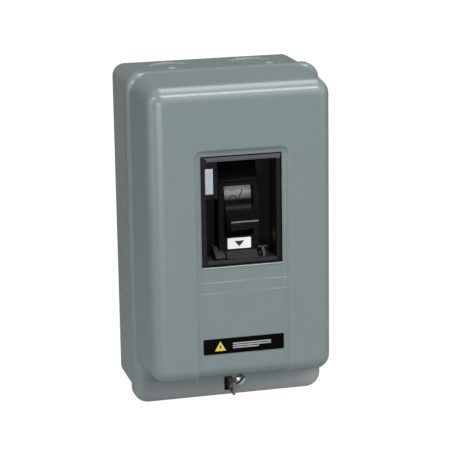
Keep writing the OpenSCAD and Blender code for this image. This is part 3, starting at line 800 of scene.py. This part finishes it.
# raised ties of the knockouts, top and bottom of the rear box
EB = Box("enclosure_box")
ties, rims = [], []
# ties and rims get a lighter paint than the box: painted highlight
for i, (x, z) in enumerate(((-28.5, 35.6), (36.1, 36.2))):
    for k, (y, d) in enumerate(((EB.y1, 1), (EB.y0, -1))):
        prof = [(2.9 * math.cos(math.radians(t)), 1.1 * math.sin(math.radians(t))) for t in range(0, 91, 10)]
        prof = [(3.0, -0.4)] + prof[:-1] + [(0.0, 1.1)]
        ties.append(lathe(prof, lambda u, v, w, x=x, z=z, y=y, d=d: P(x + u, y + d * w, z - v * d), "tie_%d%d" % (i, k), M["knockout_painted_highlight"], BODY["enclosure_box"], 24, 60))
for i, x in enumerate((-27.0, 27.0)):
    for k, (y, d) in enumerate(((EB.y1, 1), (EB.y0, -1))):
        prof = [(14.12, 0.02), (13.72, -0.53), (14.12, -0.53)]
        rims.append(lathe(prof, lambda u, v, w, x=x, y=y, d=d: P(x + u, y + d * w, 24.0 - v * d), "rim_%d%d" % (i, k), M["knockout_painted_highlight"], BODY["enclosure_box"], 72, 60))
join(ties, "knockout_ties")
join(rims, "knockout_rims")

# moulded ribs of the lens
ribs = []
nx, ny = 2, 6
lens_x0, lens_x1, lens_y0, lens_y1 = -23.0, -18.6, 38.0, 53.4
for i in range(nx):
    for j in range(ny):
        w, h = (lens_x1 - lens_x0) / nx, (lens_y1 - lens_y0) / ny
        ribs.append(prism(round_rect(lens_x0 + i * w + 0.16, lens_x0 + (i + 1) * w - 0.16, lens_y0 + j * h + 0.16, lens_y0 + (j + 1) * h - 0.16, 0.3, 3),
                          LN.z1 - 0.1, LN.z1 + 0.28, P, "rib_%d%d" % (i, j), M["lens_white"], BODY["pilot_lens"], bevel=0.2, seg=2))
join(ribs, "lens_ribs")


# ---------------------------------------------------------------- springs as real coils
def place(ox, oy, oz, axis):
    """Local (x, y, z) with z along the given face-frame axis, from the point o."""
    if axis == "y":
        return lambda x, y, z: P(ox + x, oy + z, oz - y)
    if axis == "x":
        return lambda x, y, z: P(ox + z, oy + y, oz - x)
    return lambda x, y, z: P(ox + x, oy + y, oz + z)


cs = Box("carrier_springs")
pair = []
for i, x in enumerate((cs.x0 + 2.2, cs.x1 - 2.2)):
    pair.append(helix(place(x, cs.y0, (cs.z0 + cs.z1) / 2, "y"), 2.2, 0.36, 0, cs.h, 11, "carrier_coil_%d" % i, M["spring_steel"], BODY["carrier_springs"]))
coil = join(pair, "carrier_coils")
own(coil, "carrier_springs")
P(0, cs.y0, 0)
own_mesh(coil)
cs = Box("contact_springs")
trio = [helix(place(x, cs.y0, (cs.z0 + cs.z1) / 2, "y"), 2.6, 0.4, 0, cs.h, 4.5, "contact_coil_%d" % i, M["spring_steel"], BODY["contact_springs"])
        for i, x in enumerate((cs.x0 + 2.6, cs.cx, cs.x1 - 2.6))]
own(join(trio, "contact_coils"), "contact_springs")
cs = Box("trip_bar_spring")
own(helix(place(cs.x0, cs.cy, (cs.z0 + cs.z1) / 2, "x"), cs.h / 2, 0.45, 0, cs.w, 8, "trip_coil", M["spring_steel"], BODY["trip_bar_spring"]), "trip_bar_spring")


# ---------------------------------------------------------------- toggle handle
# the upper part of the drum is painted lighter: painted sheen on the thumb face
tint(M["handle_drum"], (182, 182, 178), painted_sheen_upward(30.6, 37.5))


def build_handle():
    hb = Box("toggle_handle")
    _, py, pz = pivot("handle_turn")
    hw = hb.w / 2
    R = 30.0
    tip = hb.z1
    pol = lambda r, a: (py + r * math.sin(math.radians(a)), pz + r * math.cos(math.radians(a)))
    to = lambda u, v, w: P(w, u, v)
    parts = []
    # curved shutter and lever lip as one outline (y, z)
    outer = [pol(R - 0.05, 31 - i * 1.0) for i in range(0, 21)]              # from the top end down to the thumb hollow
    hollow = []
    cy, cz, r = 31.2, 98.3, 8.92
    for i in range(0, 13):
        a = math.radians(13 + i * 5.2)
        hollow.append((cy - r * math.sin(a), cz - r * math.cos(a)))
    nose = [(21.35, tip - 3.2), (20.9, tip - 1.0), (20.2, tip - 0.2), (19.6, tip), (16.6, tip), (15.9, tip - 0.4), (15.4, tip - 1.4), (14.3, 97.0), (13.4, 89.2)]
    low = [pol(R, -27 - i * 1.5) for i in range(0, 27)]
    inner = [pol(27.5, -66 + i * 2.0) for i in range(0, 49)]
    outline = outer + hollow + nose + low + inner
    parts.append(prism(outline, -hw, hw, to, "handle_shell", M["handle_black"], "handle", bevel=0.45, seg=3, limit=40))
    for s in (-1, 1):
        web = [pol(0.0, 0)] + [pol(27.9, -66 + i * 2.0) for i in range(0, 49)]
        parts.append(prism(web, s * hw, s * (hw - 1.8), to, "handle_web%d" % (s + 1), M["handle_black"], "handle", bevel=0.2, limit=40))
    parts.append(lathe([(0, -hw), (5.8, -hw), (6, -hw + 0.2), (6, hw - 0.2), (5.8, hw), (0, hw)], place(0, py, pz, "x"), "handle_hub", M["handle_black"], "handle"))
    arm = [(py - 1.3, pz - 15), (py + 1.3, pz - 15), (py + 1.3, pz), (py - 1.3, pz)]
    parts.append(prism(arm, -3, 3, to, "handle_arm", M["handle_black"], "handle", bevel=0.2))
    parts.append(lathe([(0, -3), (1.6, -3), (1.8, -2.8), (1.8, 2.8), (1.6, 3), (0, 3)], place(0, py, pz - 15, "x"), "handle_nose", M["handle_black"], "handle", n=24))
    o = join(parts, "toggle_lever")
    # the drum faces get the material that carries the painted sheen
    zone(o, M["handle_drum"], lambda x, y, z, nx, ny, nz: y > 27.5 and z > pz + 24 and nz > 0.4 and abs(x) < hw - 0.3)
    # a grey strip along the upper edge of the lever nose: painted highlight
    zone(o, M["handle_painted_highlight"], lambda x, y, z, nx, ny, nz: 20.1 < y < 20.9 and z > tip - 1.2 and ny > 0.30 and nz > 0.15)
    # raised off and on marks on the thumb face
    skin = lambda y: pz + math.sqrt(max(0.0, R * R - (y - py) ** 2)) if y > 30.4 else cz - math.sqrt(r * r - (cy - y) ** 2)
    marks = []
    for k in range(28):
        a0, a1 = 2 * math.pi * k / 28, 2 * math.pi * (k + 1) / 28
        quad = [(-3.2 + q * math.cos(a), 31.4 + q * math.sin(a)) for q, a in ((1.9, a0), (2.4, a0), (2.4, a1), (1.9, a1))]
        marks.append(quad)
    for k in range(10):
        t0, t1 = k / 10, (k + 1) / 10
        x0, y0, x1, y1 = -1.4, 28.0, 3.2, 37.2
        marks.append([(x0 + (x1 - x0) * t - s, y0 + (y1 - y0) * t) for t, s in ((t0, 0.25), (t0, -0.25), (t1, -0.25), (t1, 0.25))])
    vs, fs = [], []
    for quad in marks:
        b = len(vs)
        vs += [P(u, v, skin(v) - 0.2) for u, v in quad] + [P(u, v, skin(v) + 0.12) for u, v in quad]
        fs += [[b + 4, b + 5, b + 6, b + 7], [b, b + 1, b + 5, b + 4], [b + 1, b + 2, b + 6, b + 5], [b + 2, b + 3, b + 7, b + 6], [b + 3, b, b + 4, b + 7]]
    rel = from_lists(vs, fs, "thumb_marks", M["handle_black"], "handle", 30)
    return own(o, "toggle_handle")


build_handle()


# ---------------------------------------------------------------- screws, label, nameplate
def slotted(node, name, mat, dome=0.5, slot_w=1.25, slot_angle=40.0):
    b = Box(node)
    r = b.w / 2
    z0 = b.z1 - 2.3
    h = 2.3
    prof = [(2.4, b.z0 + 0.5), (2.4, z0), (r * 0.86, z0), (r * 0.98, z0 + 0.12), (r, z0 + 0.45), (r, z0 + h * 0.42)]
    for i in range(1, 9):
        t = i / 8.0
        prof.append((r * (math.cos(t * math.pi / 2) * 0.55 + 0.45 * (1 - t)), z0 + h * (0.42 + 0.58 * math.sin(t * math.pi / 2))))
    prof[-1] = (0.0, z0 + h)
    prof = [(0.0, b.z0)] + [(1.9, b.z0)] + prof
    o = lathe(prof, place(b.cx, b.cy, 0, "z"), name, mat, BODY[node], 56, 45)
    a = math.radians(slot_angle)
    ca, sa = math.cos(a), math.sin(a)
    rect = [(-r * 1.3, -slot_w / 2), (r * 1.3, -slot_w / 2), (r * 1.3, slot_w / 2), (-r * 1.3, slot_w / 2)]
    rect = [(b.cx + u * ca - v * sa, b.cy + u * sa + v * ca) for u, v in rect]
    cut(o, [extrude_loop(rect, z0 + h - 1.6, z0 + h + 1, P)], 45)
    # the walls of the slot get a dark colour: painted shade in the slot
    zone(o, M["dark_ink_and_slot_shade"], lambda x, y, z, nx, ny, nz: abs(-(x - b.cx) * sa + (y - b.cy) * ca) < slot_w / 2 + 0.02 and math.hypot(x - b.cx, y - b.cy) < r and z > z0)
    return own(o, node)


slotted("cover_screw", "cover_screw_head", M["bright_screw"])

lab = prism(round_rect(LB.x0, LB.x1, LB.y0, LB.y1, 0.5, 4), LB.z0, LB.z1, P, "lever_label", M["label_white"], BODY["handle_label"], bevel=0.08, seg=2)
own(lab, "handle_label")


def ink(loop, z, name, mat, body):
    o = prism(loop, z, z + 0.05, P, name, mat, body, bevel=0)
    return o


# a plain down arrow on the label
lx, ly = LB.cx, LB.cy
ink([(lx - 3.2, ly + 1.5), (lx + 3.2, ly + 1.5), (lx, ly - 2.2)], LB.z1, "label_arrow", M["dark_ink_and_slot_shade"], BODY["handle_label"])

pl = prism(round_rect(NP.x0, NP.x1, NP.y0, NP.y1, 0.4, 4), NP.z0, NP.z1, P, "name_strip", M["plate_black"], BODY["nameplate"], bevel=0.1, seg=2)
own(pl, "nameplate")
zt = NP.z1
tx, ty = NP.x0 + 10.8, NP.cy
ink([(tx - 3.6, ty - 2.9), (tx + 3.6, ty - 2.9), (tx, ty + 3.3)], zt, "plate_triangle", M["ink_yellow"], BODY["nameplate"])
ink([(tx + 0.5, ty + 1.5), (tx - 1.0, ty - 0.7), (tx - 0.1, ty - 0.7), (tx - 0.6, ty - 2.4), (tx + 1.0, ty - 0.2), (tx + 0.1, ty - 0.2)][::-1], zt + 0.05, "plate_bolt", M["plate_black"], BODY["nameplate"])
for i, (a, b, c, d) in enumerate(((19.0, 44.0, 0.9, 1.7), (19.0, 44.0, -0.5, 0.3), (19.0, 36.0, -1.9, -1.1))):
    ink([(NP.x0 + a, ty + c), (NP.x0 + b, ty + c), (NP.x0 + b, ty + d), (NP.x0 + a, ty + d)], zt, "plate_rule_%d" % i, M["ink_grey"], BODY["nameplate"])


def ledge_painted_shadow(nt, co):
    """Painted shadow on the ledge, strongest right below the raised front."""
    sep = nt.nodes.new("ShaderNodeSeparateXYZ")
    nt.links.new(co, sep.inputs[0])
    fac = []
    foot_y = B_BOT - (FRONT - LEDGE) * math.tan(DRAFT) - 0.9
    for axis, a, b, lo, hi in (("Z", foot_y - 14.0, foot_y - 6.0, 0.0, 0.12), ("Z", foot_y - 6.0, foot_y - 4.8, 0.0, 0.45)):
        m = nt.nodes.new("ShaderNodeMapRange")
        m.interpolation_type = "SMOOTHSTEP"
        m.inputs["From Min"].default_value, m.inputs["From Max"].default_value = a / 1000, b / 1000
        m.inputs["To Min"].default_value, m.inputs["To Max"].default_value = lo, hi
        nt.links.new(sep.outputs[axis], m.inputs["Value"])
        fac.append(m.outputs["Result"])
    add = nt.nodes.new("ShaderNodeMath")
    add.operation = "ADD"
    nt.links.new(fac[0], add.inputs[0])
    nt.links.new(fac[1], add.inputs[1])
    last = add.outputs[0]
    for axis, a, b in (("Y", -(LEDGE + 5.0), -(LEDGE + 1.6)), ("Z", foot_y + 3.0, foot_y + 1.0), ("X", -0.059, -0.047), ("X", 0.059, 0.047)):
        if axis == "X":
            a, b = a * 1000, b * 1000
        m = nt.nodes.new("ShaderNodeMapRange")
        m.inputs["From Min"].default_value, m.inputs["From Max"].default_value = a / 1000, b / 1000
        nt.links.new(sep.outputs[axis], m.inputs["Value"])
        x = nt.nodes.new("ShaderNodeMath")
        x.operation = "MULTIPLY"
        nt.links.new(last, x.inputs[0])
        nt.links.new(m.outputs["Result"], x.inputs[1])
        last = x.outputs[0]
    return last


def underside(nt, co):
    """Painted shade: darkening of the faces that look down."""
    geo = nt.nodes.new("ShaderNodeNewGeometry")
    sep = nt.nodes.new("ShaderNodeSeparateXYZ")
    nt.links.new(geo.outputs["Normal"], sep.inputs[0])
    m = nt.nodes.new("ShaderNodeMapRange")
    m.interpolation_type = "SMOOTHSTEP"
    m.inputs["From Min"].default_value, m.inputs["From Max"].default_value = -0.70, -0.88
    m.inputs["To Min"].default_value, m.inputs["To Max"].default_value = 0.0, 0.8
    nt.links.new(sep.outputs["Z"], m.inputs["Value"])
    return m.outputs["Result"]


def ledge_painted_light(nt, co):
    """Painted light: lighter paint on the lower part of the ledge, more to the right."""
    sep = nt.nodes.new("ShaderNodeSeparateXYZ")
    nt.links.new(co, sep.inputs[0])
    last = None
    for axis, a, b, lo, hi in (("Z", -94.5, -102.0, 0.0, 1.0), ("Y", -(LEDGE + 5.0), -(LEDGE + 1.6), 0.0, 1.0), ("X", -62.0, 58.0, 0.06, 0.36)):
        m = nt.nodes.new("ShaderNodeMapRange")
        m.inputs["From Min"].default_value, m.inputs["From Max"].default_value = a / 1000, b / 1000
        m.inputs["To Min"].default_value, m.inputs["To Max"].default_value = lo, hi
        nt.links.new(sep.outputs[axis], m.inputs["Value"])
        if last is None:
            last = m.outputs["Result"]
        else:
            x = nt.nodes.new("ShaderNodeMath")
            x.operation = "MULTIPLY"
            nt.links.new(last, x.inputs[0])
            nt.links.new(m.outputs["Result"], x.inputs[1])
            last = x.outputs[0]
    return last


def facing(axis, full, none, *limits):
    """Factor for faces by one part of their normal, times a ramp along each given axis in millimetres of the object."""
    def f(nt, co):
        geo = nt.nodes.new("ShaderNodeNewGeometry")
        last = None
        for src, (ax, a, b, lo, hi) in [(geo.outputs["Normal"], (axis, none, full, 0.0, 1.0))] + [(co, v) for v in limits]:
            sep = nt.nodes.new("ShaderNodeSeparateXYZ")
            nt.links.new(src, sep.inputs[0])
            k = 1.0 if last is None else 1000.0
            m = nt.nodes.new("ShaderNodeMapRange")
            m.inputs["From Min"].default_value, m.inputs["From Max"].default_value = a / k, b / k
            m.inputs["To Min"].default_value, m.inputs["To Max"].default_value = lo, hi
            nt.links.new(sep.outputs[ax], m.inputs["Value"])
            if last is None:
                last = m.outputs["Result"]
            else:
                x = nt.nodes.new("ShaderNodeMath")
                x.operation = "MULTIPLY"
                nt.links.new(last, x.inputs[0])
                nt.links.new(m.outputs["Result"], x.inputs[1])
                last = x.outputs[0]
        return last
    return f


# faces of the box that look left are lightened, more towards the top: painted light
tint(M["case_paint"], (200, 208, 208), facing("X", -0.90, -0.60, ("Z", -10.0, 60.0, 0.02, 0.15)))
# faces of the box that look up are darkened: painted shade
tint(M["case_paint"], (84, 92, 92), facing("Z", 0.95, 0.70, ("Z", 60.0, 80.0, 0.0, 0.14)))
# front faces of the bezel's left rim are lightened: painted light
tint(M["bezel_black"], (92, 94, 94), facing("Y", -0.90, -0.60, ("X", -23.0, -23.6, 0.0, 0.10)))
# painted light on the lower ledge
tint(M["cover_paint"], (196, 196, 198), ledge_painted_light)
# painted shadow on the ledge under the raised front
tint(M["cover_paint"], (62, 58, 62), ledge_painted_shadow)
# painted shade on the faces that look down
tint(M["cover_paint"], (52, 54, 56), underside)


# ---------------------------------------------------------------- stage, light and camera
WORLD_FILL, STAGE_FILL = 0.05, 0.04      # what the surroundings give to the object; the camera sees them as plain white


def camera_switch(nt, seen, lit, out):
    """The first shader for what the camera sees directly, the second for everything else."""
    lp = nt.nodes.new("ShaderNodeLightPath")
    mx = nt.nodes.new("ShaderNodeMixShader")
    nt.links.new(lp.outputs["Is Camera Ray"], mx.inputs[0])
    nt.links.new(lit, mx.inputs[1])
    nt.links.new(seen, mx.inputs[2])
    nt.links.new(mx.outputs[0], out.inputs["Surface"])


def stage_mat():
    m = bpy.data.materials.new("stage_white")
    m.use_nodes = True
    nt = m.node_tree
    b = nt.nodes["Principled BSDF"]
    b.inputs["Base Color"].default_value = (0.34, 0.34, 0.34, 1)
    b.inputs["Roughness"].default_value = 0.9
    b.inputs["Emission Color"].default_value = (1, 1, 1, 1)
    b.inputs["Emission Strength"].default_value = STAGE_FILL
    e = nt.nodes.new("ShaderNodeEmission")
    e.inputs["Color"].default_value = (1, 1, 1, 1)
    e.inputs["Strength"].default_value = 1.05
    camera_switch(nt, e.outputs[0], b.outputs[0], nt.nodes["Material Output"])
    return m


floor_z = CAD_LO.z - 0.16
s = 6.0
me = bpy.data.meshes.new("floor")
prof = [(-s, 0.0)] + [(1.6 + 0.9 * math.sin(math.radians(a)), 0.9 - 0.9 * math.cos(math.radians(a))) for a in range(0, 91, 10)] + [(2.5, 4.5)]
vs, fs = [], []
for y, z in prof:
    vs += [(-s, y, floor_z + z), (s, y, floor_z + z)]
for i in range(len(prof) - 1):
    fs.append([2 * i, 2 * i + 1, 2 * i + 3, 2 * i + 2])
me.from_pydata(vs, [], fs)
me.materials.append(stage_mat())
for p in me.polygons:
    p.use_smooth = True
floor = bpy.data.objects.new("floor", me)
bpy.context.scene.collection.objects.link(floor)

world = bpy.data.worlds.new("studio")
bpy.context.scene.world = world
world.use_nodes = True
wt = world.node_tree
bg = wt.nodes["Background"]
bg.inputs["Color"].default_value = (1, 1, 1, 1)
bg.inputs["Strength"].default_value = WORLD_FILL
seen_bg = wt.nodes.new("ShaderNodeBackground")
seen_bg.inputs["Color"].default_value = (1, 1, 1, 1)
seen_bg.inputs["Strength"].default_value = 1.05
camera_switch(wt, seen_bg.outputs[0], bg.outputs[0], wt.nodes["World Output"])

mid = (CAD_LO + CAD_HI) / 2


def soft(name, az, el, dist, sx, sy, power, color=(1, 1, 1), shift=0.0):
    """Soft box at an azimuth from the front and an elevation, facing the part."""
    a, e = math.radians(az), math.radians(el)
    d = Vector((math.sin(a) * math.cos(e), -math.cos(a) * math.cos(e), math.sin(e)))
    l = bpy.data.lights.new(name, "AREA")
    l.shape, l.size, l.size_y, l.energy, l.color = "RECTANGLE", sx, sy, power, color
    o = bpy.data.objects.new(name, l)
    x = Vector((math.cos(a), math.sin(a), 0))
    rot = Matrix((x, d.cross(x), d)).transposed()
    o.matrix_world = Matrix.Translation(mid + d * dist + x * shift) @ rot.to_4x4()
    o.visible_camera = False
    bpy.context.scene.collection.objects.link(o)
    return o


#     name         az    el  dist   width height power  shift
RIG = [
    ("strip_low",   0,   54, 1.30,  0.9, 0.22,  8.2, 0.31),
    ("strip_high",  0,   99, 1.30,  0.86, 0.90, 9.0, 0.33),
    ("front_soft", 20,   30, 1.60,  1.2, 0.7,   3.5, 0.0),
    ("left_card", -78,   10, 1.30,  0.8, 1.0,   3.3, 0.0),
    ("right_card", 62,   16, 1.40,  0.9, 1.2,   4.6, 0.0),
    ("low_card",  -24,    3, 1.40,  0.9, 0.5,   6.2, 0.0),
    ("corner_lamp", -65, 37, 1.30,  0.10, 0.10, 2.3, 0.0),
]
for name, az, el, dist, w, h, power, shift in RIG:
    soft(name, az, el, dist, w, h, power, shift=shift)

# camera at the viewing angle: azimuth -14.24, elevation 14.27, slight roll, long lens
cam_d = bpy.data.cameras.new("cam")
cam = bpy.data.objects.new("cam", cam_d)
bpy.context.scene.collection.objects.link(cam)
bpy.context.scene.camera = cam
cam_d.sensor_width = 36.0
cam_d.lens = 156.96
a, e, r = math.radians(-14.24), math.radians(14.27), math.radians(-0.93)
back = Vector((math.sin(a) * math.cos(e), -math.cos(a) * math.cos(e), math.sin(e)))
right = Vector((0, 0, 1)).cross(back).normalized()
up = back.cross(right)
rx = right * math.cos(r) + up * math.sin(r)
ry = -right * math.sin(r) + up * math.cos(r)
rot = Matrix((rx, ry, back)).transposed()
tvec = Vector((-0.0120, -0.09869, -1.34991))
loc = -(rot @ tvec) - Vector((0, 0, HH / 1000.0))
cam.matrix_world = Matrix.Translation(loc) @ rot.to_4x4()
cam_d.clip_start, cam_d.clip_end = 0.05, 50

sc = bpy.context.scene
sc.view_settings.view_transform = "Standard"
sc.view_settings.look = "None"
sc.view_settings.exposure = 0.0
sc.view_settings.gamma = 1.0
